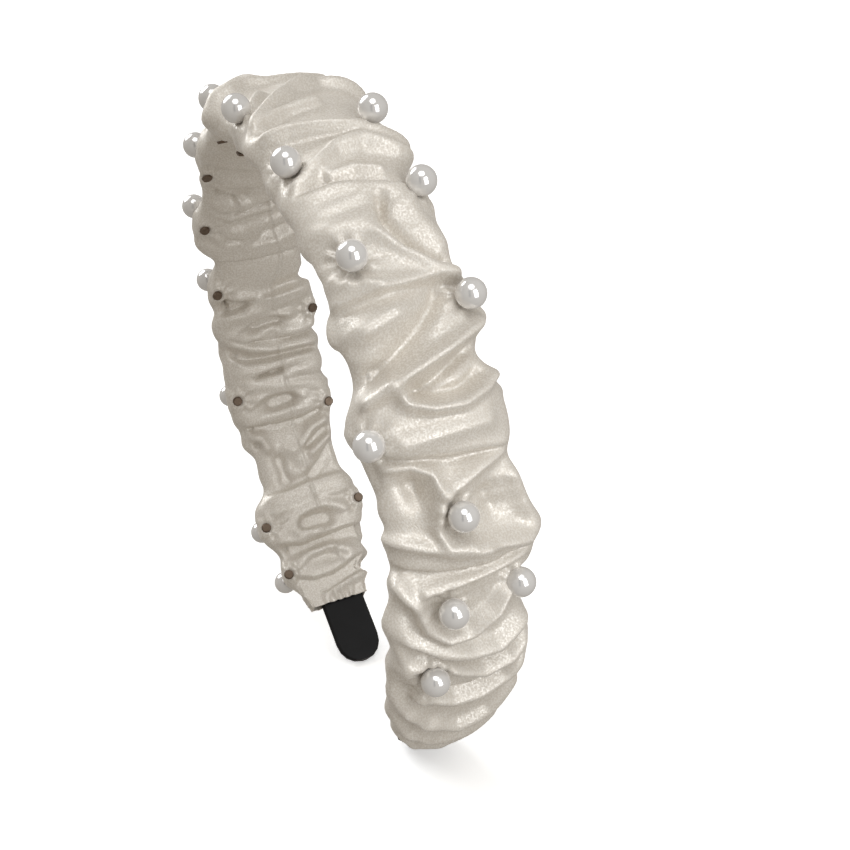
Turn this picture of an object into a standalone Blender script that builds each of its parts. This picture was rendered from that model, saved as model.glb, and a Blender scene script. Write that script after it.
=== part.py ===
"""Ruched satin headband with riveted pearls.

A flat springy hoop runs inside a gathered satin sleeve. Each pearl is held by a mushroom rivet
that comes through the satin from behind. The hoop bends at the two shoulders, so it is built as a
crown piece and two arms.

Frame: metres, +Z up with the crown at the top and the hoop's ends at the bottom, X from arm to arm,
Y across the band. The origin is under the crown, level with the lowest edge of the hoop's ends.
A place on the headband is given by three numbers: s, the distance along the hoop from the middle of
the crown; y, the distance across the band; and n, the height off the hoop's middle surface, outwards.
"""

import math
from collections import namedtuple

import bmesh
import bpy
from mathutils import Matrix, Vector

MM = 0.001

# Hoop, in millimetres: its curvature eases from the crown's radius to the arms' radius at the hem.
CROWN_RADIUS = 54.0
ARM_RADIUS = 96.0
CURVATURE_EASE = 2.0
HEM_S = 184.0
TAIL_LENGTH = 18.0
FLEX_S = 37.0
HOOP_THICKNESS = 2.0
HOOP_HALF_WIDTH = 10.0
TAIL_HALF_WIDTH = 6.0
HOOP_TAPER_FROM = 90.0
HOOP_EDGE = 0.6
HOOP_STEP = 8.0
TIP_STEPS = 4
TIP_BLUNTNESS = 0.15
EDGE_SHARE = 1 / 3
LINE_STEP = 0.5

# Sleeve: a satin tube, flat towards the head and domed outwards.
SLEEVE_HALF_WIDTH = 13.1
SLEEVE_CROWN_HEIGHT = 5.6
SLEEVE_DEPTH = 3.2
SLEEVE_WALL = 0.7
HEM_HALF_WIDTH = 8.6
HEM_HEIGHT = 4.2
HEM_TAPER = 40.0
HEM_TAPER_POWER = 1.5
SLEEVE_STEP = 6.0
SLEEVE_SIDES = 16
INNER_SQUARENESS = 6.0
DOME_EXPONENT = 2.0
PULLED_EXPONENT = 1.1
FLANGE_MARGIN = 2.0
FLANGE_SPREAD = 4.5

# Pearls and their rivets.
PEARL_RADIUS = 3.1
PEARL_HOLE_RADIUS = 0.9
RIVET_SHANK_RADIUS = 0.55
RIVET_HEAD_RADIUS = 1.4
RIVET_HEAD_BEVEL = 0.8
RIVET_HEAD_THICKNESS = 0.6
RIVET_END_BELOW_CENTRE = 0.4
RIVET_HOLE_RADIUS = 0.95
TURNED_STEPS = 10
PEARL_STEPS = 5
HOLE_SIDES = 8

# Gathering thread inside each hem.
THREAD_RADIUS = 0.35
THREAD_FROM_HEM = 4.0

SEAT_SAMPLES = 10
THROUGH_MARGIN = 1.0
SHARP_ANGLE = 40.0
MERGE_DISTANCE = 0.01

GAP = 0.3
HOOP_GAP = 0.3
SLEEVE_GAP = 1.8
SEAT_GAP = 0.35

# Where the pearls sit: (s, y). Beyond the hoop's edge a rivet goes through both layers of satin.
RIGHT_PEARLS = (
    (9, -14.5), (23, 9.5), (31, -12), (42, 11.5), (54, -8), (65, 12.5), (86, -14.5),
    (102, 0), (121, 11.8), (121, -4), (138, -8),
)
LEFT_PEARLS = (
    (12, -14), (42, -14), (64, -14.5), (66, 12), (87, -13), (98, 13),
    (103, 0), (120, -13), (127, 12.5), (143, -2), (158, -14.5), (157, 13.5), (173, -12.5),
)
RIGHT, LEFT = 1, -1

Pearl = namedtuple("Pearl", "side s y number")


# ---------------------------------------------------------------- the hoop's line


def curvature(s):
    """Curvature per millimetre at a distance s from the crown. The tails beyond the hem are straight."""
    if s > HEM_S:
        return 0.0
    ease = (1 - s / HEM_S) ** CURVATURE_EASE
    return 1 / ARM_RADIUS + (1 / CROWN_RADIUS - 1 / ARM_RADIUS) * ease


def hoop_line(step):
    """Points (s, x, z, angle) of the right half from the crown down, with the crown at x = z = 0."""
    points = [(0.0, 0.0, 0.0, 0.0)]
    for i in range(round((HEM_S + TAIL_LENGTH) / step)):
        s, x, z, angle = points[-1]
        turned = angle + curvature(s + step / 2) * step
        middle = (angle + turned) / 2
        points.append((s + step, x + math.cos(middle) * step, z - math.sin(middle) * step, turned))
    return points


LINE = hoop_line(LINE_STEP)
END_S = HEM_S + TAIL_LENGTH
CROWN_Z = -LINE[-1][2] + HOOP_THICKNESS / 2 * abs(math.cos(LINE[-1][3]))


def on_line(s):
    """(x, z, angle) of the right half at any s, between the line's points."""
    place = min(max(s / LINE_STEP, 0), len(LINE) - 1.001)
    i = int(place)
    share = place - i
    before, after = LINE[i], LINE[i + 1]
    return tuple(before[k] + (after[k] - before[k]) * share for k in (1, 2, 3))


def frame_at(side, s):
    """Point on the hoop's line and its outward normal, in millimetres; s may be negative near the crown."""
    if s < 0:
        return frame_at(-side, -s)
    x, z, angle = on_line(s)
    return Vector((side * x, 0, z + CROWN_Z)), Vector((side * math.sin(angle), 0, math.cos(angle)))


def place(side, s, y, n):
    """World point, in metres, of (s, y, n) on one half."""
    point, out = frame_at(side, s)
    return (point + out * n + Vector((0, y, 0))) * MM


# ---------------------------------------------------------------- widths and sections


def smoothstep(t):
    t = min(max(t, 0), 1)
    return t * t * (3 - 2 * t)


def hoop_half_width(s):
    narrowed = smoothstep((abs(s) - HOOP_TAPER_FROM) / (HEM_S - HOOP_TAPER_FROM))
    return HOOP_HALF_WIDTH + (TAIL_HALF_WIDTH - HOOP_HALF_WIDTH) * narrowed


def hem_share(s):
    """0 along the band, rising to 1 at the hem."""
    return max(0, (abs(s) - HEM_S + HEM_TAPER) / HEM_TAPER) ** HEM_TAPER_POWER


def is_through(pearl):
    """True beyond the hoop's edge, where a rivet goes through both layers of satin."""
    return abs(pearl.y) > HOOP_HALF_WIDTH + THROUGH_MARGIN


def flange(side, s, edge):
    """(reach, pull) at one edge, +1 or -1 in y: how far the satin stands out to carry a pearl, and
    how much the rivet pulls its outward face down, from 0 to 1."""
    reach, pull = 0.0, 0.0
    for pearl in PEARLS:
        if not is_through(pearl) or pearl.y * edge < 0:
            continue
        away = side * s - pearl.side * pearl.s
        share = math.exp(-((away / FLANGE_SPREAD) ** 2))
        reach = max(reach, (abs(pearl.y) + FLANGE_MARGIN - band_half_width(s)) * share)
        pull = max(pull, share)
    return reach, pull


def band_half_width(s):
    return SLEEVE_HALF_WIDTH + (HEM_HALF_WIDTH - SLEEVE_HALF_WIDTH) * hem_share(s)


def sleeve_height(s):
    return SLEEVE_CROWN_HEIGHT + (HEM_HEIGHT - SLEEVE_CROWN_HEIGHT) * hem_share(s)


def dome(across, pull):
    """Share of the sleeve's height at a share of its half width: a half ellipse, or nearly a tent
    where a rivet pulls it down."""
    exponent = DOME_EXPONENT + (PULLED_EXPONENT - DOME_EXPONENT) * pull
    return math.sqrt(max(0, 1 - abs(across) ** exponent))


def outer_height(side, s, y):
    """n of the sleeve's outward face."""
    reach, pull = flange(side, s, 1 if y >= 0 else -1)
    return sleeve_height(s) * dome(y / (band_half_width(s) + reach), pull)


def sleeve_outline(side, s, inset):
    """(y, n) round the sleeve's section: domed outwards, and flatter towards the head."""
    outline = []
    for i in range(SLEEVE_SIDES):
        turn = 2 * math.pi * i / SLEEVE_SIDES
        across = math.cos(turn)
        reach, pull = flange(side, s, 1 if across >= 0 else -1)
        if i <= SLEEVE_SIDES // 2:
            n = (sleeve_height(s) - inset) * dome(across, pull)
        else:
            flat = (1 - abs(across) ** INNER_SQUARENESS) ** (1 / INNER_SQUARENESS)
            n = -(SLEEVE_DEPTH - inset) * flat
        outline.append(((band_half_width(s) + reach - inset) * across, n))
    return outline


def hoop_outline(s):
    """(y, n) round the hoop's flat section with its edges taken off. The tip is rounded in plan."""
    half = HOOP_THICKNESS / 2
    width = hoop_half_width(s)
    from_end = END_S - abs(s)
    if from_end < TAIL_HALF_WIDTH:
        rounded = math.sqrt(max(0, 1 - (1 - from_end / TAIL_HALF_WIDTH) ** 2))
        width *= rounded + (1 - rounded) * TIP_BLUNTNESS
    edge = min(HOOP_EDGE, width * EDGE_SHARE)
    corner = [(width, half - edge), (width - edge, half)]
    quarter = corner + [(-y, n) for y, n in reversed(corner)]
    return quarter + [(-y, -n) for y, n in quarter]


def stations(start, end, step):
    """Evenly spaced distances from start to end, no further apart than step."""
    count = max(1, math.ceil(abs(end - start) / step))
    return [start + (end - start) * i / count for i in range(count + 1)]


# ---------------------------------------------------------------- Blender helpers


def clear_scene():
    for obj in list(bpy.data.objects):
        bpy.data.objects.remove(obj)


def make_collection(name, shown):
    collection = bpy.data.collections.new(name)
    bpy.context.scene.collection.children.link(collection)
    collection.hide_render = not shown
    return collection


def make_material(name, colour, roughness, metallic=0.0):
    material = bpy.data.materials.new(name)
    material.use_nodes = True
    shader = material.node_tree.nodes["Principled BSDF"]
    shader.inputs["Base Color"].default_value = (*colour, 1)
    shader.inputs["Roughness"].default_value = roughness
    shader.inputs["Metallic"].default_value = metallic
    return material


def link_object(name, data, material, parent):
    obj = bpy.data.objects.new(name, data)
    HEADBAND.objects.link(obj)
    if not data.materials:
        data.materials.append(material)
    if parent:
        obj.parent = parent
        obj.matrix_parent_inverse = parent.matrix_world.inverted()
    return obj


def bridge(bm, first, second):
    """Quads between two rings of the same length."""
    count = len(first)
    for i in range(count):
        after = (i + 1) % count
        bm.faces.new((first[i], first[after], second[after], second[i]))


def finish_mesh(bm, name):
    bmesh.ops.recalc_face_normals(bm, faces=bm.faces)
    mesh = bpy.data.meshes.new(name)
    bm.to_mesh(mesh)
    bm.free()
    mesh.shade_smooth()
    mesh.set_sharp_from_angle(angle=math.radians(SHARP_ANGLE))
    return mesh


def rings_of(bm, side, distances, outline_at):
    return [
        [bm.verts.new(place(side, s, y, n)) for y, n in outline_at(s)]
        for s in distances
    ]


def solid_loft(name, side, distances, outline_at):
    """A bar through sections that change along the hoop, closed at both ends."""
    bm = bmesh.new()
    rings = rings_of(bm, side, distances, outline_at)
    for first, second in zip(rings, rings[1:]):
        bridge(bm, first, second)
    bm.faces.new(rings[0])
    bm.faces.new(rings[-1])
    return finish_mesh(bm, name)


def tube_loft(name, side, distances):
    """The sleeve: an outer and an inner surface joined by a rim at each open end."""
    bm = bmesh.new()
    outer = rings_of(bm, side, distances, lambda s: sleeve_outline(side, s, 0))
    inner = rings_of(bm, side, distances, lambda s: sleeve_outline(side, s, SLEEVE_WALL))
    for rings in (outer, inner):
        for first, second in zip(rings, rings[1:]):
            bridge(bm, first, second)
    for end in (0, -1):
        bridge(bm, outer[end], inner[end])
    return finish_mesh(bm, name)


# ---------------------------------------------------------------- parts


def add_pivot(name, side):
    """The empty that an arm turns about, on the hoop's line at the shoulder."""
    pivot = bpy.data.objects.new(name, None)
    HEADBAND.objects.link(pivot)
    pivot.location = place(side, FLEX_S, 0, 0)
    bpy.context.view_layer.update()
    return pivot


def add_hoop(plastic):
    crown = stations(-FLEX_S + HOOP_GAP / 2, FLEX_S - HOOP_GAP / 2, HOOP_STEP)
    mesh = solid_loft("hoop_crown", RIGHT, crown, hoop_outline)
    link_object("hoop_crown", mesh, plastic, None)
    arm = stations(FLEX_S + HOOP_GAP / 2, HEM_S, HOOP_STEP)
    tip = [
        END_S - TAIL_HALF_WIDTH * (1 - math.sin(math.pi / 2 * i / TIP_STEPS))
        for i in range(TIP_STEPS + 1)
    ]
    for side, word in SIDES:
        mesh = solid_loft("hoop_" + word, side, arm + tip, hoop_outline)
        link_object("hoop_" + word, mesh, plastic, PIVOTS[side])


def pin_cutter(name, pearls):
    """One mesh with a cylinder for each rivet's hole through these pieces of sleeve."""
    bm = bmesh.new()
    for pearl in pearls:
        low, high = hole_span(pearl)
        middle = place(pearl.side, pearl.s, pearl.y, (low + high) / 2)
        turned = pearl_rotation(pearl).to_matrix().to_4x4()
        bmesh.ops.create_cone(
            bm,
            cap_ends=True,
            segments=HOLE_SIDES,
            radius1=RIVET_HOLE_RADIUS * MM,
            radius2=RIVET_HOLE_RADIUS * MM,
            depth=(high - low) * MM,
            matrix=Matrix.Translation(middle) @ turned,
        )
    mesh = bpy.data.meshes.new(name)
    bm.to_mesh(mesh)
    bm.free()
    cutter = bpy.data.objects.new(name, mesh)
    CUTTERS.objects.link(cutter)
    cutter.hide_render = True
    cutter.display_type = "WIRE"
    return cutter


def add_sleeve(name, side, start, end, pearls, satin, parent):
    mesh = tube_loft(name, side, stations(start, end, SLEEVE_STEP))
    sleeve = link_object(name, mesh, satin, parent)
    holes = sleeve.modifiers.new("rivet_holes", "BOOLEAN")
    holes.operation = "DIFFERENCE"
    holes.solver = "EXACT"
    holes.object = pin_cutter(name + "_holes", pearls)


def add_sleeves(satin):
    edge = FLEX_S - SLEEVE_GAP / 2
    on_crown = [p for p in PEARLS if p.s < FLEX_S]
    add_sleeve("sleeve_crown", RIGHT, -edge, edge, on_crown, satin, None)
    for side, word in SIDES:
        on_arm = [p for p in PEARLS if p.s > FLEX_S and p.side == side]
        start = FLEX_S + SLEEVE_GAP / 2
        add_sleeve("sleeve_" + word, side, start, HEM_S, on_arm, satin, PIVOTS[side])


def add_hem_threads(cotton):
    """A thread drawn tight round the hoop just inside each hem, which gathers the satin there."""
    s = HEM_S - THREAD_FROM_HEM
    off = GAP + THREAD_RADIUS
    for side, word in SIDES:
        curve = bpy.data.curves.new("hem_thread_" + word, "CURVE")
        curve.dimensions = "3D"
        curve.bevel_depth = THREAD_RADIUS * MM
        curve.bevel_resolution = 1
        width = hoop_half_width(s) + off
        height = HOOP_THICKNESS / 2 + off
        round_end = [math.radians(a) for a in (-90, -45, 0, 45, 90)]
        right_end = [(width - height + height * math.cos(a), height * math.sin(a)) for a in round_end]
        route = right_end + [(-y, -n) for y, n in right_end]
        spline = curve.splines.new("POLY")
        spline.points.add(len(route) - 1)
        for point, (y, n) in zip(spline.points, route):
            point.co = (*place(side, s, y, n), 1)
        spline.use_cyclic_u = True
        link_object("hem_thread_" + word, curve, cotton, PIVOTS[side])


def pearl_centre(pearl):
    """n of the pearl's centre: the lowest at which it clears the satin under it."""
    reach = PEARL_RADIUS + SEAT_GAP
    heights = []
    for i in range(-SEAT_SAMPLES, SEAT_SAMPLES + 1):
        off = reach * i / SEAT_SAMPLES
        lift = math.sqrt(reach**2 - off**2)
        heights.append(outer_height(pearl.side, pearl.s, pearl.y + off) + lift)
    return max(heights)


def rivet_head_top(pearl):
    """n where the rivet's head meets its shank: behind the satin, or between satin and hoop."""
    if is_through(pearl):
        return -SLEEVE_DEPTH - GAP
    return HOOP_THICKNESS / 2 + GAP + RIVET_HEAD_THICKNESS


def hole_span(pearl):
    """Lowest and highest n of the cutter for the rivet's hole."""
    above = outer_height(pearl.side, pearl.s, pearl.y) + PEARL_RADIUS
    if is_through(pearl):
        return -2 * SLEEVE_DEPTH, above
    return HOOP_THICKNESS / 2 + GAP, above


def pearl_rotation(pearl):
    """Turns +Z to the hoop's outward normal at the pearl."""
    return frame_at(pearl.side, pearl.s)[1].to_track_quat("Z", "Y")


def add_turned(name, profile, material, parent, location, rotation):
    """A solid turned about its own Z axis, from a profile of (radius, height) in millimetres."""
    mesh = bpy.data.meshes.new(name)
    corners = [(radius * MM, 0, height * MM) for radius, height in profile]
    edges = [(i, i + 1) for i in range(len(corners) - 1)]
    mesh.from_pydata(corners, edges, [])
    obj = link_object(name, mesh, material, None)
    screw = obj.modifiers.new("turn", "SCREW")
    screw.axis = "Z"
    screw.angle = 2 * math.pi
    screw.steps = TURNED_STEPS
    screw.render_steps = TURNED_STEPS
    screw.use_merge_vertices = True
    screw.merge_threshold = MERGE_DISTANCE * MM
    screw.use_smooth_shade = True
    obj.rotation_mode = "QUATERNION"
    obj.rotation_quaternion = rotation
    obj.location = location
    if parent:
        obj.parent = parent
        obj.matrix_parent_inverse = parent.matrix_world.inverted()
    return obj


def pearl_profile():
    """A ball with a blind hole from below up to its centre."""
    hole_angle = math.pi - math.asin(PEARL_HOLE_RADIUS / PEARL_RADIUS)
    arc = [hole_angle * i / PEARL_STEPS for i in range(PEARL_STEPS + 1)]
    ball = [(PEARL_RADIUS * math.sin(a), PEARL_RADIUS * math.cos(a)) for a in arc]
    return ball + [(PEARL_HOLE_RADIUS, 0.0), (0.0, 0.0)]


def rivet_profile(length):
    """A shank on a thin head; the head's top is at height 0."""
    return [
        (0.0, length),
        (RIVET_SHANK_RADIUS, length),
        (RIVET_SHANK_RADIUS, 0.0),
        (RIVET_HEAD_RADIUS, 0.0),
        (RIVET_HEAD_RADIUS * RIVET_HEAD_BEVEL, -RIVET_HEAD_THICKNESS),
        (0.0, -RIVET_HEAD_THICKNESS),
    ]


def add_pearls(pearl_finish, bronze):
    for pearl in PEARLS:
        parent = PIVOTS[pearl.side] if pearl.s > FLEX_S else None
        word = dict(SIDES)[pearl.side]
        label = f"{word}_{pearl.number:02d}"
        rotation = pearl_rotation(pearl)
        centre = pearl_centre(pearl)
        seat = place(pearl.side, pearl.s, pearl.y, centre)
        add_turned("pearl_" + label, pearl_profile(), pearl_finish, parent, seat, rotation)
        head = rivet_head_top(pearl)
        profile = rivet_profile(centre - RIVET_END_BELOW_CENTRE - head)
        back = place(pearl.side, pearl.s, pearl.y, head)
        add_turned("rivet_" + label, profile, bronze, parent, back, rotation)


# ---------------------------------------------------------------- the headband

SIDES = ((RIGHT, "right"), (LEFT, "left"))
PEARLS = [Pearl(RIGHT, s, y, i + 1) for i, (s, y) in enumerate(RIGHT_PEARLS)]
PEARLS += [Pearl(LEFT, s, y, i + 1) for i, (s, y) in enumerate(LEFT_PEARLS)]

clear_scene()
HEADBAND = make_collection("headband", shown=True)
CUTTERS = make_collection("cutters", shown=False)
PIVOTS = {side: add_pivot("flex_" + word, side) for side, word in SIDES}

add_hoop(make_material("black_plastic", (0.012, 0.012, 0.013), 0.42))
add_sleeves(make_material("ivory_satin", (0.80, 0.77, 0.72), 0.38))
add_hem_threads(make_material("cotton_thread", (0.78, 0.75, 0.70), 0.75))
add_pearls(
    make_material("pearl", (0.86, 0.85, 0.84), 0.18),
    make_material("dark_bronze", (0.16, 0.11, 0.08), 0.45, metallic=0.9),
)
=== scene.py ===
"""Look of a ruched satin headband with riveted pearls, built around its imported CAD.

Places on the band are (s, y, n) in millimetres: s along the hoop from the middle of the crown, positive
down the right arm; y across the band; n off the hoop's middle surface, outwards.
"""

import math

import bmesh
import bpy
import numpy as np
from mathutils import Matrix, Vector


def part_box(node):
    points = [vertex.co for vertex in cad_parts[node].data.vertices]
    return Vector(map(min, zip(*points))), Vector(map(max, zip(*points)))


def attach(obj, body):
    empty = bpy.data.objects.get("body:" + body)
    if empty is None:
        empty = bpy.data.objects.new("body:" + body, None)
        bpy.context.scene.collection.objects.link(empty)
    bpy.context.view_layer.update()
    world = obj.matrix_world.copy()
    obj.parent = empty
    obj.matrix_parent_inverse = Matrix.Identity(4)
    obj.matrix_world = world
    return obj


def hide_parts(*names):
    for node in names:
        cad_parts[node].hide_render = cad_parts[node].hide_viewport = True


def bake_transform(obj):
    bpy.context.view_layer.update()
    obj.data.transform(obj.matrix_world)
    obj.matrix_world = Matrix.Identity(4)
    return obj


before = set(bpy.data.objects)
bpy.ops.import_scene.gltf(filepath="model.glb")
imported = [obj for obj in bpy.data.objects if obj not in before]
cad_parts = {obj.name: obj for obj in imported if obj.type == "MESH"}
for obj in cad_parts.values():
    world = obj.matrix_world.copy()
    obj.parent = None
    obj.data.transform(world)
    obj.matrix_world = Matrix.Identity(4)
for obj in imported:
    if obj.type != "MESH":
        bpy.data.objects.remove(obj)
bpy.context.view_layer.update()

MM = 0.001
SEED = 11

# The hoop's line.
CROWN_RADIUS = 54.0
ARM_RADIUS = 96.0
HEM_S = 184.0
TAIL_LENGTH = 18.0
END_S = HEM_S + TAIL_LENGTH
FLEX_S = 37.0
HOOP_THICKNESS = 2.0
LINE_STEP = 0.25

# Satin sleeve: its plain shape before it is gathered.
HALF_WIDTH = 12.6
OUT_HEIGHT = 5.4
IN_DEPTH = 3.0
HEM_HALF_WIDTH = 7.2
HEM_OUT_HEIGHT = 3.0
HEM_IN_DEPTH = 1.9
HEM_TAPER = 26.0
HEM_TAPER_POWER = 1.6
OUT_POWER = 0.9
IN_POWER = 4
FLANGE_SPREAD = 5.0
FLANGE_MARGIN = 2.4
FLANGE_SLACK = 1.0
OUTLINE_BLUR = 1.4
ROW_STEP = 0.4
AROUND = 150
SATIN_THICKNESS = 0.3

PEARL_RADIUS = 3.1

rng = np.random.default_rng(SEED)


# ---------------------------------------------------------------- the band's own coordinates


def hoop_line():
    s = np.arange(0, END_S + 30, LINE_STEP)
    middle = s[:-1] + LINE_STEP / 2
    ease = np.clip(1 - middle / HEM_S, 0, 1) ** 2
    bend = 1 / ARM_RADIUS + (1 / CROWN_RADIUS - 1 / ARM_RADIUS) * ease
    bend[middle > HEM_S] = 0
    angle = np.concatenate([[0], np.cumsum(bend * LINE_STEP)])
    half = (angle[1:] + angle[:-1]) / 2
    x = np.concatenate([[0], np.cumsum(np.cos(half) * LINE_STEP)])
    z = -np.concatenate([[0], np.cumsum(np.sin(half) * LINE_STEP)])
    return s, x, z, angle


LINE = hoop_line()
CROWN_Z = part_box("hoop_crown")[1].z / MM - HOOP_THICKNESS / 2


def on_hoop(s):
    """x, z and the outward normal's x, z of the hoop's line, in millimetres, for an array of s."""
    s = np.asarray(s, float)
    side = np.where(s < 0, -1.0, 1.0)
    x = np.interp(abs(s), LINE[0], LINE[1]) * side
    z = np.interp(abs(s), LINE[0], LINE[2]) + CROWN_Z
    angle = np.interp(abs(s), LINE[0], LINE[3]) * side
    return x, z, np.sin(angle), np.cos(angle)


def to_world(s, y, n):
    """World points, in millimetres, of arrays of s, y and n."""
    x, z, nx, nz = on_hoop(s)
    return np.stack([x + nx * n, y + 0 * x, z + nz * n], -1)


def normal_at(s):
    _, _, nx, nz = on_hoop(s)
    return Vector((float(nx), 0, float(nz)))


# Off the hoop by less than this, a point belongs to the other arm.
FAR_SIDE_N = -30


def to_band(point):
    """(s, y, n) in millimetres of a world point in metres."""
    s = np.arange(-END_S, END_S, LINE_STEP)
    x, z, nx, nz = on_hoop(s)
    px, py, pz = (c / MM for c in point)
    along = (px - x) * nz - (pz - z) * nx
    off = (px - x) * nx + (pz - z) * nz
    gap = abs(along) + 1000 * (off < FAR_SIDE_N)
    i = int(np.argmin(gap))
    return float(s[i]), float(py), float(off[i])


def middle_of(node):
    low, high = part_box(node)
    return (low + high) / 2


PEARLS = {
    name[len("pearl_") :]: to_band(middle_of(name))
    for name in sorted(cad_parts)
    if name.startswith("pearl_")
}
# A pearl further out than this sits on the band's edge, with its rivet showing on the head side.
EDGE_Y = 11.0


def smooth(t):
    t = np.clip(t, 0, 1)
    return t * t * (3 - 2 * t)


# ---------------------------------------------------------------- the sleeve's plain shape


def hem_share(s):
    return np.clip((abs(s) - HEM_S + HEM_TAPER) / HEM_TAPER, 0, 1) ** HEM_TAPER_POWER


def mix(a, b, t):
    return a + (b - a) * t


def blurred(values, spread):
    """values smoothed along their first axis; spread in millimetres."""
    reach = int(3 * spread / ROW_STEP)
    weight = np.exp(-0.5 * (np.arange(-reach, reach + 1) * ROW_STEP / spread) ** 2)
    weight /= weight.sum()
    padded = np.concatenate([np.repeat(values[:1], reach, 0), values, np.repeat(values[-1:], reach, 0)])
    return sum(w * padded[i : i + len(values)] for i, w in enumerate(weight))


def edge_reach(s, edge):
    """How far each edge stands out to carry the pearls that sit on it."""
    base = mix(HALF_WIDTH, HEM_HALF_WIDTH, hem_share(s))
    reach = np.zeros_like(base)
    for ps, py, _ in PEARLS.values():
        if abs(py) < EDGE_Y or py * edge < 0:
            continue
        share = np.exp(-(((s - ps) / FLANGE_SPREAD) ** 2))
        reach = np.maximum(reach, (abs(py) + FLANGE_MARGIN - base) * share)
    reach = base + np.maximum(reach, 0)
    outline = np.interp(s, *zip(*EDGES[edge]))
    return blurred(np.maximum(outline, reach - FLANGE_SLACK), OUTLINE_BLUR)


SECTION_SAMPLES = 480


def sections(s):
    """For each s, AROUND points (y, n) evenly spaced round the plain section from the middle of the
    head side, with their outward normals."""
    turn = np.linspace(0, 2 * math.pi, SECTION_SAMPLES, endpoint=False) - math.pi / 2
    across, up = np.cos(turn), np.sin(turn)
    wide = np.where(across > 0, edge_reach(s, 1)[:, None], edge_reach(s, -1)[:, None])
    high = mix(OUT_HEIGHT, HEM_OUT_HEIGHT, hem_share(s))[:, None]
    deep = mix(IN_DEPTH, HEM_IN_DEPTH, hem_share(s))[:, None]
    y = wide * across
    outer = high * np.clip(up, 0, 1) ** OUT_POWER
    inner = -deep * (1 - abs(across) ** IN_POWER) ** (1 / IN_POWER)
    n = np.where(up > 0, outer, inner)
    dy = np.roll(y, -1, 1) - y
    dn = np.roll(n, -1, 1) - n
    length = np.concatenate([np.zeros((len(s), 1)), np.cumsum(np.hypot(dy, dn), 1)], 1)
    ys = np.empty((len(s), AROUND))
    ns = np.empty((len(s), AROUND))
    share = np.arange(AROUND) / AROUND
    for i in range(len(s)):
        at = share * length[i, -1]
        ys[i] = np.interp(at, length[i], np.append(y[i], y[i, 0]))
        ns[i] = np.interp(at, length[i], np.append(n[i], n[i, 0]))
    ty = np.roll(ys, -1, 1) - np.roll(ys, 1, 1)
    tn = np.roll(ns, -1, 1) - np.roll(ns, 1, 1)
    size = np.hypot(ty, tn)
    return ys, ns, tn / size, -ty / size, length[:, -1]


# ---------------------------------------------------------------- gathers

# Folds on the right arm's outward face: (height, width, the line that it follows as (s, y) points). A
# negative height is a hollow. Those beyond s = 165 are out of sight in the photo and are guessed.
OUTER_FOLDS = (
    (1.8, 1.5, ((13, -14), (9, -11), (3, -7))),
    (2.6, 1.7, ((20, -15), (14, -10), (7, -2), (3, 5), (6, 13))),
    (1.4, 1.3, ((18, -12), (15, -6), (14, 1))),
    (2.6, 1.7, ((22, -15), (23, -8), (25, 0), (26.5, 6), (30, 12))),
    (2.8, 1.7, ((38, -14), (34.5, -8), (31, -2), (30, 4), (33, 11))),
    (1.2, 1.2, ((36, -5), (35.5, 0), (37, 5))),
    (1.3, 6.0, ((48, -9), (49, -2))),
    (1.4, 3.6, ((46, 7), (50, 8), (54, 11))),
    (-2.0, 1.2, ((44, 2), (48, 1), (52, 3), (55, 6), (57, 9), (59, 14))),
    (1.4, 1.8, ((51, -1), (54.5, 2.5), (58, 7), (59.5, 12))),
    (1.4, 1.8, ((53, -13), (57.5, -10), (59.5, -4))),
    (2.2, 4.2, ((66.5, -9), (65, -3))),
    (-2.0, 2.0, ((63.5, 7), (68, 1.5), (72, -5), (75, -12))),
    (3.2, 1.5, ((69.5, 15), (71.5, 10), (74, 3), (76, -4), (79, -12))),
    (-1.8, 1.4, ((72.5, 14), (75.5, 7), (78, 1), (79, -3))),
    (2.8, 1.4, ((77, -7), (80.5, -5.5), (82.5, -1), (83, 4.5), (81.5, 10), (79, 14))),
    (-1.8, 1.2, ((79.5, -3), (80.5, 1), (80.5, 6), (79, 10))),
    (1.8, 3.2, ((87, -8), (87, 0), (87, 9))),
    (2.4, 1.7, ((93.5, 13), (95, 6.5), (96.5, 2), (98, -1.5), (101, -3.2))),
    (1.8, 1.5, ((91.5, -12), (92, -7), (94, -3.5), (98, -2.8))),
    (-2.2, 2.6, ((96, -8), (98, -7))),
    (-1.4, 3.5, ((101, 7), (104, 8))),
    (2.8, 1.2, ((101, -3.4), (104.5, -4.4), (107.5, -3), (108.5, 1))),
    (1.8, 1.6, ((99, 13), (105, 14), (111, 16))),
    (2.6, 1.4, ((112.5, 15), (110.5, 8), (109.5, 2))),
    (2.6, 1.4, ((105, -13), (107.5, -6), (109.5, -1), (110, 4))),
    (2.2, 1.4, ((116.5, -8), (116, -1), (115.5, 6), (115, 13))),
    (
        3.0, 1.2,
        ((116, 14), (120, 10.5), (125, 5), (128, 0), (128, -4.5), (125, -8), (119, -9.5), (115, -12)),
    ),
    (2.6, 1.3, ((124, -14), (128, -11), (131, -6.5), (133.5, 0), (134.5, 6), (132, 12))),
    (2.4, 1.3, ((136, -13), (135.5, -6.5), (138.5, -2), (141, 3), (140.5, 9), (137, 14))),
    (1.8, 1.4, ((121, -14), (130, -13), (137, -11), (144, -9))),
    (2.6, 1.3, ((144.5, -10), (148, -3), (148.5, 3), (147, 9), (142, 14))),
    (2.4, 1.3, ((142, -15), (149, -12.5), (156, -8), (160, -1), (159, 6), (154, 12))),
    (2.2, 1.3, ((152, -14), (160, -11), (167, -5), (170, 2), (167, 9))),
    (2.0, 1.3, ((163, -12), (172, -7), (177, 0), (175, 7))),
)

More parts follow.
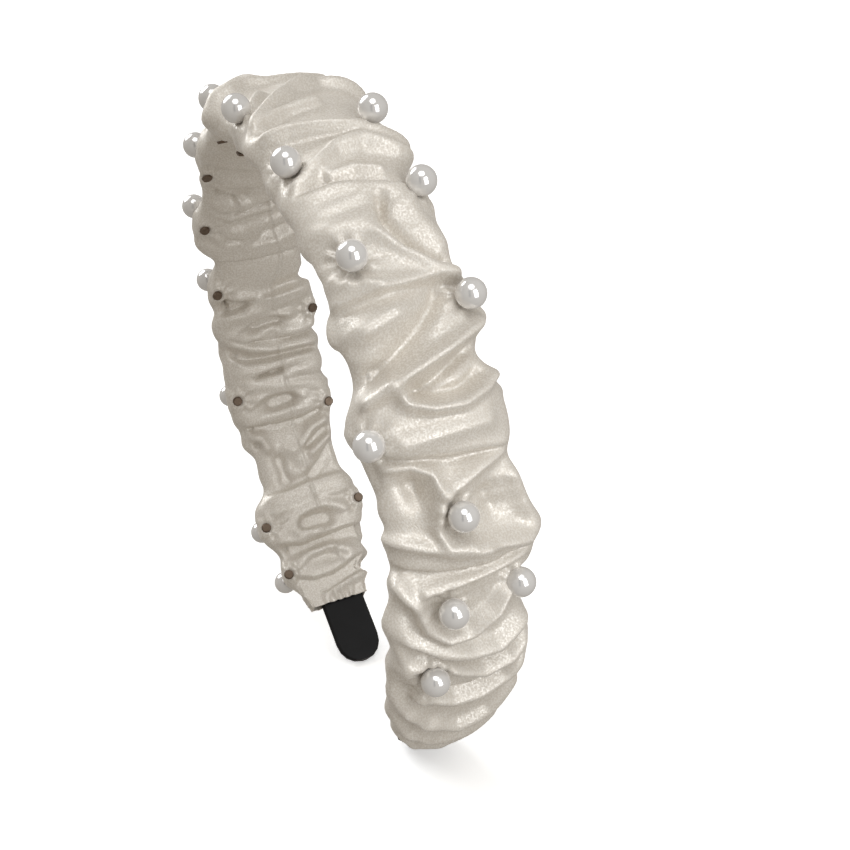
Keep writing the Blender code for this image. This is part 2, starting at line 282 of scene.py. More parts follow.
# Tucks there, where one panel of satin lies over the next: (lip, drop, its line as (y, s) points). A
# positive lip is on the line's crown side, and a negative one is on its hem side.
OUTER_TUCKS = (
    (-1.3, 1.4, ((-14, 38.5), (-5, 38), (0, 39), (5, 40.5), (11, 42.5))),
    (1.3, 1.5, ((-15, 61.5), (-9, 61), (0, 60.8), (8, 60.5), (14, 62))),
    (1.4, 2.0, ((-14, 88.5), (-7, 90), (0, 91.4), (6, 92), (14, 93))),
    (0.9, 1.2, ((-13, 111), (-6, 112.8), (1, 113.6), (6, 113.8), (13, 113))),
    (0.8, 1.2, ((-13, 126), (-6, 131.5), (1, 136.5), (7, 137), (13, 134.5))),
    (0.8, 1.0, ((-11, 141), (-5, 144), (1, 145), (7, 144), (13, 140))),
)
TUCK_REACH = 3.4
TUCK_EDGE = 0.55
TUCK_LIE = 1.5

# Folds on the crown's outward face, across the middle.
CROWN_FOLDS = (
    (4.2, 2.4, ((-5, -16), (-5, -11), (-8, -7))),
    (2.2, 1.6, ((-20, -13), (-17, -8), (-14, -2), (-12, 6), (-15, 13))),
    (2.0, 1.5, ((-6, -6), (-4, 1), (-5, 9))),
)

# Folds and tucks on the left arm's head side, the same way.
HEAD_FOLDS = (
    (1.6, 1.4, ((-33, -13), (-38, -8), (-41, -2), (-40, 6))),
    (1.8, 1.6, ((-43, -13), (-47, -8), (-49, -1), (-47, 6))),
    (-1.6, 2.2, ((-52, -9), (-55, -5))),
    (1.6, 1.2, ((-45, -12), (-49, -9), (-53, -6.5), (-57.5, -4))),
    (1.8, 1.3, ((-57, -13.5), (-61.5, -7.5), (-60, 3), (-57, 9))),
    (1.6, 1.2, ((-61, -12), (-66, -9), (-69, -4), (-66, 2), (-65, 9))),
    (1.8, 1.2, ((-67, -12.5), (-71, -9.5), (-71.3, -5), (-70, -1.5))),
    (2.6, 1.7, ((-70, -14.5), (-73.5, -12), (-74.5, -6.5), (-74.5, 0), (-74, 5), (-72, 10.5))),
    (1.0, 2.6, ((-90, -8), (-91, 0))),
    (-1.6, 1.5, ((-91, -11), (-93, -7))),
    (2.0, 1.3, ((-97, -11), (-95.5, -5.5), (-93.5, 0), (-93, 5.5), (-92, 10))),
    (1.4, 1.2, ((-100, -12), (-97.5, -6), (-96.5, 0), (-98, 6))),
    (-1.7, 2.2, ((-99.5, -4), (-99, 2))),
    (2.2, 1.8, ((-101.5, -13.5), (-106, -6), (-107, 0), (-108, 12))),
    (2.0, 1.4, ((-113, -13), (-113, -7.5), (-112, -1.5), (-112, 4.5), (-114.5, 11.5))),
    (1.8, 1.2, ((-114, -12), (-116, -6), (-116.5, 0), (-115.5, 5.5), (-116.5, 10.5))),
    (-1.4, 1.0, ((-114.6, -7), (-114, 1))),
    (1.8, 2.0, ((-118, -14), (-119, -6), (-120, 4.5), (-121.5, 12))),
    (2.2, 1.4, ((-123, -11), (-120.5, -7.5), (-119, -2.5), (-120, 3), (-123, 5.5))),
    (-2.2, 2.2, ((-123.5, -3), (-123, 1.5))),
    (2.0, 1.3, ((-126.5, -12.5), (-126.8, -4.5), (-126.5, 3), (-125, 12))),
    (1.6, 1.3, ((-132, -12), (-132.5, -9), (-136, -8))),
    (-1.6, 1.0, ((-134, -12), (-134.5, -10))),
    (1.8, 1.1, ((-137, 2), (-133.5, 5.5), (-132, 10))),
    (-1.6, 1.0, ((-138, 3.5), (-135, 9.5))),
    (1.4, 1.1, ((-140.5, 4), (-137, 10))),
    (-1.4, 1.4, ((-140, -5.5), (-146, -5))),
    (1.3, 2.4, ((-139, -1), (-144, -1))),
    (-1.6, 1.3, ((-147, 2.5), (-144, 6), (-140, 10.5))),
    (3.0, 2.6, ((-153, -13), (-152.5, -5), (-151.5, 0.5), (-152, 9))),
    (2.2, 1.3, ((-160, -8), (-157, -5), (-156, -1), (-156, 3), (-158.5, 8.5))),
    (-2.0, 2.4, ((-160, -3), (-160, 2))),
    (1.8, 1.1, ((-164, -13), (-160.5, -10.5), (-159.5, -7.5), (-162.5, -6), (-163, 0))),
    (1.6, 1.2, ((-172, -11), (-169, -5), (-168.5, 1), (-171, 6))),
    (-1.4, 1.1, ((-180, -8), (-178, 2), (-176, 8))),
    (1.6, 1.2, ((-182, -3), (-180, 3), (-179, 7))),
)
HEAD_TUCKS = (
    (1.3, 1.0, ((-14, -54), (-10.5, -58), (-7, -59), (-2.5, -58.6), (3, -57), (12, -54))),
    (1.0, 1.0, ((-14, -66), (-10, -68.5), (-5, -69), (2, -67.5), (12, -66))),
    (1.6, 0.9, ((-14, -75), (-2.5, -77.2), (1.5, -77.4), (12.5, -77))),
    (-1.5, 1.2, ((-14, -95), (-10, -94), (-5.5, -92.8), (0, -91), (5.5, -90.6), (12, -90))),
    (1.2, 1.4, ((-13, -99.5), (-8.5, -103), (0, -104), (7.5, -104.6), (12.5, -104))),
    (-1.0, 1.5, ((-13.5, -106.5), (-8.5, -110), (-2, -111), (5, -111), (12, -111))),
    (1.3, 1.6, ((-12, -128), (-3, -129), (4.5, -129), (12, -127))),
    (-1.8, 1.2, ((-12.5, -150), (-5, -149.6), (0.5, -148.6), (9.5, -148.4))),
    (1.2, 1.5, ((-13, -163.6), (-6, -165.2), (0, -164.6), (8, -164))),
    (1.1, 1.0, ((-13, -173), (-6, -176), (0, -176), (8, -173))),
)

# The tube's lengthwise seam on the head side: how high it stands, its width, and its line as (s, y).
SEAM = (0.45, 0.35, ((-HEM_S, 4), (-150, 1), (-89, 2), (-80, 6), (-60, 3), (0, 0), (90, -2), (HEM_S, 0)))

# The band's outline: how far each edge, 1 for positive y and -1 for negative y, is from the middle, as
# (s, distance).
EDGES = {
    1: (
        (-184, 7), (-174, 8), (-163, 9.6), (-150, 11), (-139, 10.6), (-133, 10.6), (-125, 13), (-119, 11),
        (-109, 13), (-105, 12), (-101, 13), (-98, 14.4), (-94, 14), (-90, 10.8), (-87, 11.6), (-77, 12),
        (-70, 14), (-64, 14.2), (-58, 12.6), (-4, 12.6), (20, 12), (36, 11.2), (42, 13.4), (47, 12.8),
        (51, 11.6), (56, 12), (60, 14), (65, 14.6), (70, 15), (74, 12.2), (78, 12.2), (84, 15), (87, 15.6),
        (91, 14), (93, 12.6), (97, 14), (104, 15), (111, 16.8), (115, 13.6), (121, 13.8), (130, 12.4),
        (139, 15), (146, 14), (160, 11.4), (184, 7.6),
    ),
    -1: (
        (-184, 8.6), (-175, 13), (-171, 13.4), (-167, 12.2), (-164, 14), (-160, 16.4), (-155, 16),
        (-151, 13.6), (-149, 10.6), (-139, 11), (-135, 12.8), (-127, 12.6), (-122, 15), (-118, 15),
        (-116, 13.6), (-110, 13), (-106, 14), (-99, 14), (-90, 14.4), (-85, 14), (-81, 12), (-77, 12.4),
        (-69, 16.4), (-61, 16), (-59, 13.4), (-53, 13), (-46, 13.4), (-40, 15.4), (-30, 14), (-16, 15),
        (-8, 17.4), (-2, 16.4), (3, 14.6), (9, 16), (20, 14.5), (31, 15), (38, 13.6), (46, 13.6),
        (55, 12), (61, 12.6), (66, 14.2), (75, 12.4), (79, 14), (85, 17), (89, 13.6),
        (95, 12.6), (100, 14.8), (104, 11.8), (109, 12.8), (118, 13), (125, 13.6), (140, 14.2), (155, 13.8),
        (165, 12), (184, 7.6),
    ),
}

# Folds and tucks of the faces that the photo doesn't show: where those faces' own folds end on the
# crown, how far apart the folds are, and their ranges of shape.
LEFT_FACE_END = -18
RIGHT_HEAD_START = -42
FOLD_EVERY = (4.5, 8.5)
FOLD_MARGIN = (4, 3)
FOLD_STATION = 7.0
FOLD_SLANT = 5.0
FOLD_BOW = 3.5
FOLD_HEIGHT = (1.1, 2.3)
FOLD_WIDTH = (1.6, 2.8)
TUCK_OFTEN = 0.35
TUCK_LIP = (0.8, 1.5)
TUCK_DROP = (0.9, 1.7)

# How folds of every face are made: their size, how steep their hem side is, and their crests.
FOLD_TALL = 1.65
FOLD_WIDE = 0.9
FOLD_STEEP = 0.3
FOLD_FADE = 12.0
FOLD_BLUR = 0.45
CREST_SHARE = 0.35
CREST_ROUND = 0.5
CREST_WIDTH = 0.6
FOOT_POWER = 1.5
TUCK_OVER = 0.35
HEAD_TALL = 1.45
FACE_LIMIT = 5.0
HEAD_LIMIT = 1.9

# Folds stand taller towards the hem: by how much, from where, and over what length.
LOWER_TALLER = 0.3
LOWER_FROM = 105
LOWER_OVER = 12

# Where one face's folds give way to the next one's: round the edge, at the middle of the crown on the
# outward face, and past it on the head side.
FACE_TURN = 1.2
RIGHT_FACE = (-2, 8)
LEFT_HEAD = (30, 10)

# The satin keeps this far off the hoop over the hoop's width.
HOOP_CLEAR = 0.7
HOOP_REACH = 10.2

# Along the edges the shape is calmer.
EDGE_FROM = 0.8
EDGE_BLUR = 1.7
EDGE_CALM = 0.9
OUTLINE_CALM = 0.8

# Small wrinkles between the folds.
WRINKLE = 0.10
WRINKLE_SPACING = 5.0
WRINKLE_REACH = 20.0
WRINKLE_BAND = 0.5
WRINKLE_LEAST = 0.25
WRINKLE_FULL = 1.6
MEAN_GIRTH = 62.0

# The hem, drawn in by its thread into small ripples.
HEM_DRAWN = 5
HEM_RIPPLE = 0.45
HEM_RIPPLES = 13
HEM_WANDER = (2, 3)

# Round a pearl the satin is calm, is pressed down to the pearl's seat and puckers.
CALM_FOLDS = 3.0
CALM_TUCKS = 4.0
PUCKER = 0.28
PUCKERS = 9
PUCKER_RING = 3.4
PUCKER_WIDTH = 1.6
SEAT_SUNK = 0.15
SEAT_WIDTH = 2.2

# Head side round an edge rivet: it is drawn in at the rivet and stands up in a ring round it.
RIVET_N = -3.4
RIVET_WIDTH = 2.0
RIVET_RING = 2.2
RIVET_RING_WIDTH = 0.8
RIVET_PUFF = 0.9


def ridge(away, wide):
    """A crest that is thin at its top and spreads at its foot."""
    broad = 1 / (1 + (away / wide) ** 2) ** FOOT_POWER
    sharp = np.exp((CREST_ROUND - np.hypot(away, CREST_ROUND)) / wide / CREST_WIDTH)
    return (1 - CREST_SHARE) * broad + CREST_SHARE * sharp


SHARE_SOFT = 0.3


def along_line(points, s, y):
    """Distance of each (s, y) from a line of points, and the share of it that is along s."""
    best = np.full(s.shape, 1e9)
    share = np.zeros_like(best)
    for (s0, y0), (s1, y1) in zip(points, points[1:]):
        ds, dy = s1 - s0, y1 - y0
        t = np.clip(((s - s0) * ds + (y - y0) * dy) / (ds * ds + dy * dy), 0, 1)
        off = s - s0 - t * ds
        away = np.hypot(off, y - y0 - t * dy)
        share = np.where(away < best, off / (away + SHARE_SOFT), share)
        best = np.minimum(best, away)
    return best, share


def fold_up(folds, tucks, s, y, hem):
    """Height of folds and tucks at each (s, y), and how far a tuck's lip lies over along s. hem is the
    side towards the hem that the folds' steep sides face."""
    height = np.zeros_like(s)
    lie = np.zeros_like(s)
    rows = s[:, 0]
    for tall, wide, points in folds:
        reach = [p[0] for p in points]
        near = (rows > min(reach) - FOLD_FADE) & (rows < max(reach) + FOLD_FADE)
        away, share = along_line(points, s[near], y[near])
        lean = 1 - FOLD_STEEP * hem * share * (tall > 0)
        height[near] += FOLD_TALL * tall * ridge(away, wide * FOLD_WIDE * lean)
    for lip, drop, points in tucks:
        side = 1 if lip > 0 else -1
        away = (s - np.interp(y, *zip(*points))) * side * hem
        over = smooth(0.5 - away / 2 / TUCK_EDGE)
        skirt = np.exp(-((away / TUCK_REACH) ** 2))
        height += (over * abs(lip) - (1 - over) * drop) * skirt
        lie += TUCK_OVER * side * hem * over * np.exp(-((away / TUCK_LIE) ** 2))
    return height, lie


def random_folds(first, last):
    """Folds and tucks across the band between two places along it."""
    folds, tucks = [], []
    at = first + FOLD_MARGIN[0]
    while at < last - FOLD_MARGIN[1]:
        slant, bow = rng.uniform(-FOLD_SLANT, FOLD_SLANT), rng.uniform(-FOLD_BOW, FOLD_BOW)
        line = [
            (at + slant * k / 2 + bow * k * k / 4 + rng.uniform(-1, 1), FOLD_STATION * k)
            for k in range(-2, 3)
        ]
        if rng.random() < TUCK_OFTEN:
            side = rng.choice((-1, 1))
            lip, drop = side * rng.uniform(*TUCK_LIP), rng.uniform(*TUCK_DROP)
            tucks.append((lip, drop, [(b, a) for a, b in line]))
        else:
            part = (line, line[:3], line[:4], line[1:], line[2:])[rng.integers(5)]
            folds.append((rng.uniform(*FOLD_HEIGHT), rng.uniform(*FOLD_WIDTH), part))
        at += rng.uniform(*FOLD_EVERY)
    return folds, tucks


def fine_wrinkles(rows):
    """Smooth random wrinkles that run across the band."""
    field = rng.standard_normal((rows, AROUND))
    ku = abs(np.fft.fftfreq(rows, ROW_STEP))[:, None]
    kv = abs(np.fft.fftfreq(AROUND, MEAN_GIRTH / AROUND))[None, :]
    band = np.exp(-(((ku - 1 / WRINKLE_SPACING) * WRINKLE_SPACING / WRINKLE_BAND) ** 2))
    field = np.fft.ifft2(np.fft.fft2(field) * band * np.exp(-((kv * WRINKLE_REACH) ** 2))).real
    return field / field.std()


def bell(away, wide):
    return np.exp(-((away / wide) ** 2))


def all_folds(grid_s, y, outward):
    """Height and lie of every face's folds, joined where the faces meet."""
    right_face = smooth((grid_s - RIGHT_FACE[0]) / RIGHT_FACE[1])
    left_head = smooth((-grid_s - LEFT_HEAD[0]) / LEFT_HEAD[1])
    left_folds, left_tucks = random_folds(-HEM_S, LEFT_FACE_END)
    left_face = fold_up(left_folds + list(CROWN_FOLDS), left_tucks, grid_s, y, -1)
    right_head = fold_up(*random_folds(RIGHT_HEAD_START, HEM_S), grid_s, y, 1)
    drawn_face = fold_up(OUTER_FOLDS, OUTER_TUCKS, grid_s, y, 1)
    drawn_face[0][:] *= 1 + LOWER_TALLER * smooth((grid_s - LOWER_FROM) / LOWER_OVER)
    drawn_head = fold_up(HEAD_FOLDS, HEAD_TUCKS, grid_s, y, -1)
    drawn_head[0][:] *= HEAD_TALL
    return (
        mix(mix(rh, dh, left_head), mix(lf, df, right_face), outward)
        for rh, dh, lf, df in zip(right_head, drawn_head, left_face, drawn_face)
    )


def draw_in_hem(grid_s, height):
    hem = smooth((abs(grid_s) - HEM_S + HEM_DRAWN) / HEM_DRAWN)
    around = np.arange(AROUND) / AROUND * 2 * math.pi
    wander = HEM_WANDER[0] * np.sin(around * HEM_WANDER[1])
    return height * (1 - hem) + hem * HEM_RIPPLE * np.sin(around * HEM_RIPPLES + wander)


def gathered_shape():
    """World points of the satin's outer surface in rows across the band, and its cloth coordinates."""
    s = np.arange(-HEM_S, HEM_S + ROW_STEP / 2, ROW_STEP)
    y, n, out_y, out_n, _ = sections(s)
    plain_n = n
    grid_s = np.repeat(s[:, None], AROUND, 1)
    outward = smooth((n + FACE_TURN) / (2 * FACE_TURN))
    height, lie = all_folds(grid_s, y, outward)
    height = blurred(height, FOLD_BLUR)
    height += 0.5 * ((np.roll(height, 1, 1) + np.roll(height, -1, 1)) / 2 - height)
    limit = mix(HEAD_LIMIT, FACE_LIMIT, outward)
    height = np.where(height > 0, limit * np.tanh(height / limit), height)
    wrinkled = np.clip(WRINKLE_LEAST + abs(height) / WRINKLE_FULL, 0, 1)
    height += WRINKLE * fine_wrinkles(len(s)) * wrinkled
    tall, wide, points = SEAM
    height += tall * bell(along_line(points, grid_s, y)[0], wide) * (1 - outward)
    edge = smooth((abs(y) / abs(y).max(1)[:, None] - EDGE_FROM) / (1 - EDGE_FROM))
    height = mix(height, EDGE_CALM * blurred(height, EDGE_BLUR), edge)
    lie *= 1 - edge
    height = draw_in_hem(grid_s, height)
    for ps, py, pn in PEARLS.values():
        at_edge = abs(py) > EDGE_Y
        away = np.hypot(grid_s - ps, y - py)
        turn = np.arctan2(y - py, grid_s - ps)
        outer = n > -1
        height *= 1 - bell(away, CALM_FOLDS)
        lie *= 1 - bell(away, CALM_TUCKS)
        pucker = PUCKER * np.sin(PUCKERS * turn + ps) * bell(away - PUCKER_RING, PUCKER_WIDTH)
        height += pucker * (outer | at_edge)
        seat = pn - PEARL_RADIUS + SEAT_SUNK
        n = n + (seat - n) * bell(away, SEAT_WIDTH) * outer
        if at_edge:
            inner = n < -1
            n = n + (RIVET_N - n) * bell(away, RIVET_WIDTH) * inner
            n = n - RIVET_PUFF * bell(away - RIVET_RING, RIVET_RING_WIDTH) * inner
    y = y + out_y * height
    n = n + out_n * height
    y, n = (mix(value, blurred(value, OUTLINE_CALM), edge) for value in (y, n))
    clear = HOOP_THICKNESS / 2 + HOOP_CLEAR
    cleared = np.where(plain_n < 0, np.minimum(n, -clear), np.maximum(n, clear))
    n = np.where(abs(y) < HOOP_REACH, cleared, n)
    world = to_world(np.clip(grid_s + lie, -HEM_S, HEM_S), y, n)
    along = np.linalg.norm(np.diff(world, axis=0), axis=2)
    round_it = np.linalg.norm(np.roll(world, -1, 1) - world, axis=2)
    cloth = np.empty(world.shape)
    cloth[..., 0] = np.arange(AROUND) / AROUND * round_it.sum(1).mean()
    cloth[..., 1] = np.concatenate([[0], np.cumsum(along.mean(1))])[:, None]
    cloth[..., 2] = 0
    return s, world, cloth


def grid_mesh(name, world):
    rows, around, _ = world.shape
    i, j = np.meshgrid(np.arange(rows - 1), np.arange(around), indexing="ij")
    after = (j + 1) % around
    quads = np.stack(
        [i * around + j, i * around + after, (i + 1) * around + after, (i + 1) * around + j], -1
    ).reshape(-1, 4)
    mesh = bpy.data.meshes.new(name)
    mesh.from_pydata(world.reshape(-1, 3).tolist(), [], quads.tolist())
    return mesh


# ---------------------------------------------------------------- materials


def material(name, colour, roughness, **sockets):
    made = bpy.data.materials.new(name)
    made.use_nodes = True
    shader = made.node_tree.nodes["Principled BSDF"]
    shader.inputs["Base Color"].default_value = (*colour, 1)
    shader.inputs["Roughness"].default_value = roughness
    for key, value in sockets.items():
        shader.inputs[key.replace("_", " ")].default_value = value
    return made


def noise(tree, scale, detail, vector=None):
    """Noise of features 1/scale metres across, in the object's coordinates or the given ones."""
    made = tree.nodes.new("ShaderNodeTexNoise")
    made.inputs["Scale"].default_value = scale
    made.inputs["Detail"].default_value = detail
    if vector is None:
        vector = tree.nodes.new("ShaderNodeTexCoord").outputs["Object"]
    tree.links.new(vector, made.inputs["Vector"])
    return made.outputs["Fac"]


def spread(tree, value, low, high, to_low, to_high):
    made = tree.nodes.new("ShaderNodeMapRange")
    for key, number in (("From Min", low), ("From Max", high), ("To Min", to_low), ("To Max", to_high)):
        made.inputs[key].default_value = number
    tree.links.new(value, made.inputs["Value"])
    return made.outputs["Result"]


def blend_colours(tree, share, first, second):
    made = tree.nodes.new("ShaderNodeMix")
    made.data_type = "RGBA"
    for socket, colour in (("A", first), ("B", second)):
        if isinstance(colour, tuple):
            made.inputs[socket].default_value = (*colour, 1)
        else:
            tree.links.new(colour, made.inputs[socket])
    tree.links.new(share, made.inputs["Factor"])
    return made.outputs["Result"]


def bumped(tree, height, strength, distance):
    made = tree.nodes.new("ShaderNodeBump")
    made.inputs["Strength"].default_value = strength
    made.inputs["Distance"].default_value = distance
    tree.links.new(height, made.inputs["Height"])
    tree.links.new(made.outputs["Normal"], tree.nodes["Principled BSDF"].inputs["Normal"])


def mottled(tree, pattern, colours, roughness):
    """Colour and roughness that follow a pattern, each between its two ends."""
    shader = tree.nodes["Principled BSDF"]
    tree.links.new(blend_colours(tree, pattern, *colours), shader.inputs["Base Color"])
    tree.links.new(spread(tree, pattern, 0.3, 0.7, *roughness), shader.inputs["Roughness"])


GRAIN = 0.9
GRAIN_DEPTH = 0.00005
THREAD_STRETCH = (2.6, 0.8, 1)
SATIN_ROUGH = 0.42
SATIN_METAL = 0.25
SATIN_LOW = (0.62, 0.57, 0.50)
SATIN_HIGH = (0.68, 0.635, 0.57)
# A lighter colour that the satin's grain paints in as specks: painted sparkle highlights, not a colour of
# the thread.
SATIN_PAINTED_SPARKLE = (0.78, 0.745, 0.69)
PEARL_COLOURS = ((0.74, 0.725, 0.71), (0.82, 0.81, 0.80))
PLASTIC_COLOURS = ((0.003, 0.003, 0.0035), (0.008, 0.008, 0.009))
BRONZE_COLOURS = ((0.09, 0.064, 0.046), (0.24, 0.185, 0.14))
COTTON_COLOURS = ((0.66, 0.62, 0.56), (0.82, 0.79, 0.73))


def satin_material():
    made = material(
        "ivory_satin", (0.68, 0.645, 0.595), 0.4, Sheen_Weight=0.08, Sheen_Roughness=0.4,
        Anisotropic=0.5, Specular_IOR_Level=0.7, Metallic=SATIN_METAL,
    )
    tree = made.node_tree
    shader = tree.nodes["Principled BSDF"]
    cloth = tree.nodes.new("ShaderNodeAttribute")
    cloth.attribute_name = "cloth"
    stretch = tree.nodes.new("ShaderNodeMapping")
    stretch.inputs["Scale"].default_value = THREAD_STRETCH
    tree.links.new(cloth.outputs["Vector"], stretch.inputs["Vector"])
    threads = noise(tree, 1500, 1, stretch.outputs["Vector"])
    grain_and_painted_sparkle = noise(tree, 2500, 1)
    broad = noise(tree, 55, 2)
    tint = blend_colours(tree, broad, SATIN_LOW, SATIN_HIGH)
    # Where the grain noise is high, the base colour turns to the lighter colour: painted sparkle
    # highlights. The same noise also drives the satin's real roughness and bump.
    painted_sparkle_share = spread(tree, grain_and_painted_sparkle, 0.4, 0.68, 0, 1)
    painted_sparkle_colour = blend_colours(tree, painted_sparkle_share, tint, SATIN_PAINTED_SPARKLE)
    tree.links.new(painted_sparkle_colour, shader.inputs["Base Color"])
    gloss = spread(tree, grain_and_painted_sparkle, 0.35, 0.65, SATIN_ROUGH + 0.1, SATIN_ROUGH - 0.12)
    tree.links.new(gloss, shader.inputs["Roughness"])
    both = tree.nodes.new("ShaderNodeMath")
    both.operation = "ADD"
    tree.links.new(threads, both.inputs[0])
    tree.links.new(grain_and_painted_sparkle, both.inputs[1])
    bumped(tree, both.outputs["Value"], GRAIN, GRAIN_DEPTH)
    return made


def pearl_material():
    made = material(
        "pearl", (0.70, 0.69, 0.68), 0.17, Metallic=0.42, Coat_Weight=1.0, Coat_Roughness=0.03,
        Specular_IOR_Level=0.7,
    )
    mottled(made.node_tree, noise(made.node_tree, 320, 3), PEARL_COLOURS, (0.08, 0.15))
    return made


def plastic_material():
    made = material("black_plastic", (0.004, 0.004, 0.0045), 0.5, Specular_IOR_Level=0.22)
    tree = made.node_tree
    fine = noise(tree, 1400, 2)
    mottled(tree, noise(tree, 90, 4), PLASTIC_COLOURS, (0.38, 0.6))
    bumped(tree, fine, 0.5, 0.00004)
    return made


def bronze_material():
    made = material("dark_bronze", (0.10, 0.07, 0.05), 0.45, Metallic=0.9)
    tree = made.node_tree
    worn = noise(tree, 1100, 3)
    mottled(tree, worn, BRONZE_COLOURS, (0.3, 0.6))
    bumped(tree, worn, 0.4, 0.00003)
    return made


def cotton_material():
    made = material("cotton_thread", (0.78, 0.75, 0.70), 0.75, Sheen_Weight=0.3)
    tree = made.node_tree
    plies = noise(tree, 3000, 2)
    mottled(tree, plies, COTTON_COLOURS, (0.65, 0.85))
    bumped(tree, plies, 0.6, 0.00005)
    return made


# ---------------------------------------------------------------- pieces


def add_object(name, data):
    obj = bpy.data.objects.new(name, data)
    bpy.context.scene.collection.objects.link(obj)
    return obj


SHARP_ANGLE = math.radians(75)


def add_sleeve():
    s, world, cloth = gathered_shape()
    satin = satin_material()
    middle = int(np.argmin(abs(s)))
    halves = (("sleeve_left_satin", 0, middle, -1), ("sleeve_right_satin", middle, len(s) - 1, 1))
    for name, first, last, side in halves:
        obj = add_object(name, grid_mesh(name, world[first : last + 1] * MM))
        obj.data.materials.append(satin)
        obj.data.shade_smooth()
        part = cloth[first : last + 1] * MM
        place_in_cloth = obj.data.attributes.new("cloth", "FLOAT_VECTOR", "POINT")
        place_in_cloth.data.foreach_set("vector", part.reshape(-1))
        solid = obj.modifiers.new("cloth_thickness", "SOLIDIFY")
        solid.thickness = SATIN_THICKNESS * MM
        solid.offset = -1
        bpy.context.view_layer.update()
        thick = obj.evaluated_get(bpy.context.evaluated_depsgraph_get())
        made = bpy.data.meshes.new_from_object(thick)
        obj.modifiers.clear()
        obj.data = made
        made.shade_smooth()
        made.set_sharp_from_angle(angle=SHARP_ANGLE)
        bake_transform(obj)
        nodes = ["sleeve_right", "sleeve_crown"] if side > 0 else ["sleeve_left"]
        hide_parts(*nodes)


def turned_mesh(name, profile, steps):
    """A solid of revolution about Z from (radius, height) in millimetres."""
    turn = np.arange(steps) / steps * 2 * math.pi
    radius = np.array([p[0] for p in profile])[:, None]
    height = np.array([p[1] for p in profile])[:, None]
    world = np.stack([radius * np.cos(turn), radius * np.sin(turn), height + 0 * turn], -1) * MM
    mesh = grid_mesh(name, world)
    bm = bmesh.new()
    bm.from_mesh(mesh)
    bmesh.ops.remove_doubles(bm, verts=bm.verts, dist=1e-7)
    bmesh.ops.recalc_face_normals(bm, faces=bm.faces)
    bm.to_mesh(mesh)
    bm.free()
    return mesh


def body_for(s):
    if abs(s) < FLEX_S:
        return "crown"
    return "right_arm" if s > 0 else "left_arm"


# A pearl's outline from its top, in steps of arc, and then the hole that its rivet goes into.
PEARL_STEPS = 32
PEARL_AROUND = 48
PEARL_HOLE = ((0.62, -PEARL_RADIUS * 0.93), (0.58, -1.0), (0.0, -0.8))


def add_pearls():
    finish = pearl_material()
    arc = [math.pi * i / PEARL_STEPS for i in range(PEARL_STEPS - 2)]
    profile = [(PEARL_RADIUS * math.sin(a), PEARL_RADIUS * math.cos(a)) for a in arc]
    mesh = turned_mesh("pearl", profile + list(PEARL_HOLE), PEARL_AROUND)
    mesh.materials.append(finish)
    mesh.shade_smooth()
    for label, (s, _, _) in PEARLS.items():
        obj = add_object("ball_" + label, mesh)
        obj.location = middle_of("pearl_" + label)
        obj.rotation_mode = "QUATERNION"
        obj.rotation_quaternion = normal_at(s).to_track_quat("Z", "Y")
        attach(obj, body_for(s))
        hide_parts("pearl_" + label)


def finish_nodes():
    plastic, bronze, cotton = plastic_material(), bronze_material(), cotton_material()
    for name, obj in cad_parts.items():
        for prefix, made in (("hoop_", plastic), ("rivet_", bronze), ("hem_thread", cotton)):
            if name.startswith(prefix):
                obj.data.materials.clear()
                obj.data.materials.append(made)


# ---------------------------------------------------------------- room, light and camera


WHITE = (1, 1, 1, 1)
FLOOR_SIZE = 3.4
FLOOR_GLOW = 0.4
DOME_RADIUS = 5
WORLD_STRENGTH = 0.42
WORLD_COLOUR = (1, 0.94, 0.86, 1)
LAMP_COLOUR = (0.95, 0.975, 1)
SUN_ANGLE = 40

# Soft suns: name, strength, and where it shines from.
SUNS = (("key", 0.9, (0.45, -0.05, 0.89)), ("back", 1.6, (-0.72, -0.32, 0.61)))

WINDOW_POWER = 0.52
WINDOW_PLACE = (0.345, 0.085, 0.165)
WINDOW_TARGET = (0.06, 0, 0.09)
WINDOW_SIZE = (0.16, 0.30)

# A dark card that only shows in reflections.
CARD_PLACE = (0.42, -0.22, 0.24)
CARD_TARGET = (0.03, 0, 0.09)
CARD_SIZE = 0.5
CARD_SCALE = (0.10, 0.4, 1)


def add_stage(name, make, finish, **sizes):
    """A mesh of one bmesh operation that isn't part of the object."""
    bm = bmesh.new()
    make(bm, **sizes)
    mesh = bpy.data.meshes.new(name)
    bm.to_mesh(mesh)
    bm.free()
    obj = add_object(name, mesh)
    mesh.materials.append(finish)
    return obj


def add_floor():
    pale = material(
        "pale_floor", (0.93, 0.93, 0.93), 0.9, Emission_Color=WHITE, Emission_Strength=FLOOR_GLOW
    )
    grid = {"x_segments": 1, "y_segments": 1, "size": FLOOR_SIZE}
    floor = add_stage("floor", bmesh.ops.create_grid, pale, **grid)
    floor.visible_diffuse = floor.visible_glossy = False
    white = material("white_backdrop", (0, 0, 0), 1, Emission_Color=WHITE, Emission_Strength=1)
    sphere = {"subdivisions": 4, "radius": DOME_RADIUS}
    dome = add_stage("backdrop", bmesh.ops.create_icosphere, white, **sphere)
    dome.visible_diffuse = dome.visible_glossy = dome.visible_shadow = False


def add_world():
    world = bpy.data.worlds.new("studio")
    bpy.context.scene.world = world
    world.use_nodes = True
    world.node_tree.nodes["Background"].inputs["Color"].default_value = WORLD_COLOUR
    world.node_tree.nodes["Background"].inputs["Strength"].default_value = WORLD_STRENGTH


def add_suns():
    for name, strength, source in SUNS:
        data = bpy.data.lights.new(name, "SUN")
        data.energy = strength
        data.color = LAMP_COLOUR
        data.angle = math.radians(SUN_ANGLE)
        sun = add_object(name, data)
        sun.rotation_euler = Vector(source).to_track_quat("Z", "Y").to_euler()


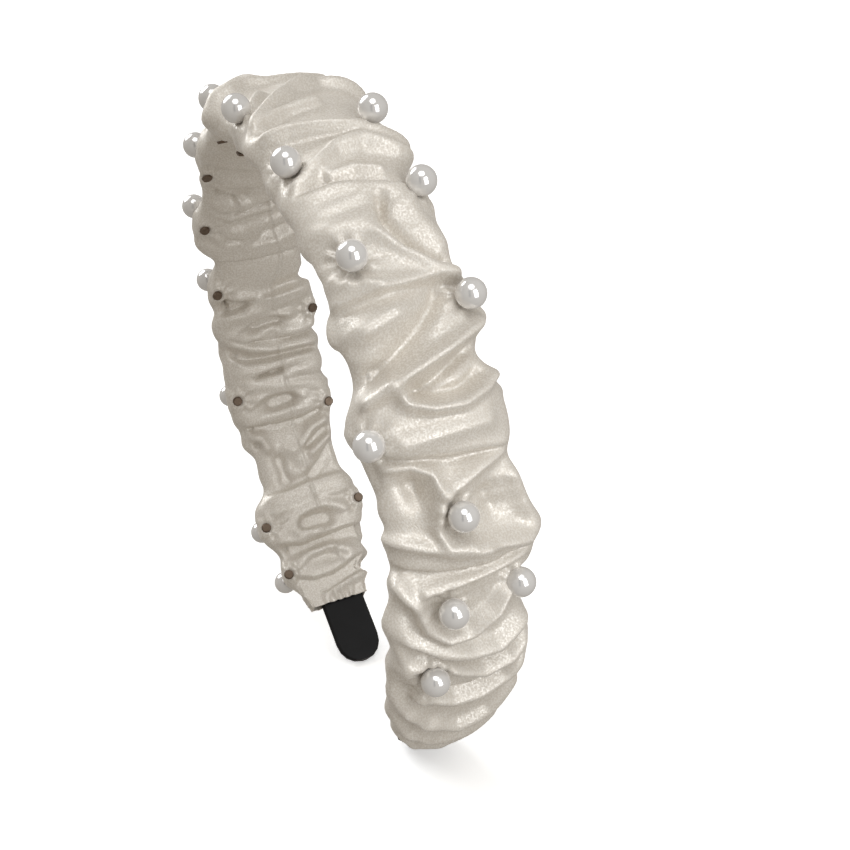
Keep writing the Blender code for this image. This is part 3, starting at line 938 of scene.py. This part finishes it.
def add_window():
    data = bpy.data.lights.new("window", "AREA")
    data.shape = "RECTANGLE"
    data.size, data.size_y = WINDOW_SIZE
    data.energy = WINDOW_POWER
    data.color = LAMP_COLOUR
    light = add_object("window", data)
    light.location = WINDOW_PLACE
    light.visible_camera = False
    way = Vector(WINDOW_TARGET) - Vector(WINDOW_PLACE)
    light.rotation_euler = way.to_track_quat("-Z", "Y").to_euler()


def add_card():
    dark = material("dark_card", (0.03, 0.03, 0.03), 0.9)
    grid = {"x_segments": 1, "y_segments": 1, "size": CARD_SIZE}
    card = add_stage("dark_card", bmesh.ops.create_grid, dark, **grid)
    card.scale = CARD_SCALE
    card.location = CARD_PLACE
    way = Vector(CARD_TARGET) - card.location
    card.rotation_euler = way.to_track_quat("Z", "Y").to_euler()
    card.visible_camera = card.visible_diffuse = card.visible_shadow = False


def add_light():
    add_world()
    add_suns()
    add_window()
    add_card()


CAMERA_PLACE = (0.27658, -0.07653, 0.20143)
CAMERA_AZIMUTH = 72.1
CAMERA_ELEVATION = 23.5
CAMERA_ROLL = -8.4
CAMERA_LENS = 55.3
CAMERA_SENSOR = 36
CAMERA_SHIFT = 0.034
CAMERA_NEAR = 0.01


def add_camera():
    data = bpy.data.cameras.new("camera")
    data.lens = CAMERA_LENS
    data.sensor_width = CAMERA_SENSOR
    data.shift_x = CAMERA_SHIFT
    data.clip_start = CAMERA_NEAR
    camera = add_object("camera", data)
    a, e, r = (math.radians(v) for v in (CAMERA_AZIMUTH, CAMERA_ELEVATION, CAMERA_ROLL))
    back = Vector((math.sin(a) * math.cos(e), -math.cos(a) * math.cos(e), math.sin(e)))
    right = Vector((math.cos(a), math.sin(a), 0))
    up = back.cross(right)
    right, up = right * math.cos(r) + up * math.sin(r), up * math.cos(r) - right * math.sin(r)
    turned = Matrix((right, up, back)).transposed().to_4x4()
    camera.matrix_world = Matrix.Translation(CAMERA_PLACE) @ turned
    bpy.context.scene.camera = camera
    bpy.context.scene.view_settings.view_transform = "Standard"


add_sleeve()
add_pearls()
finish_nodes()
add_floor()
add_light()
add_camera()
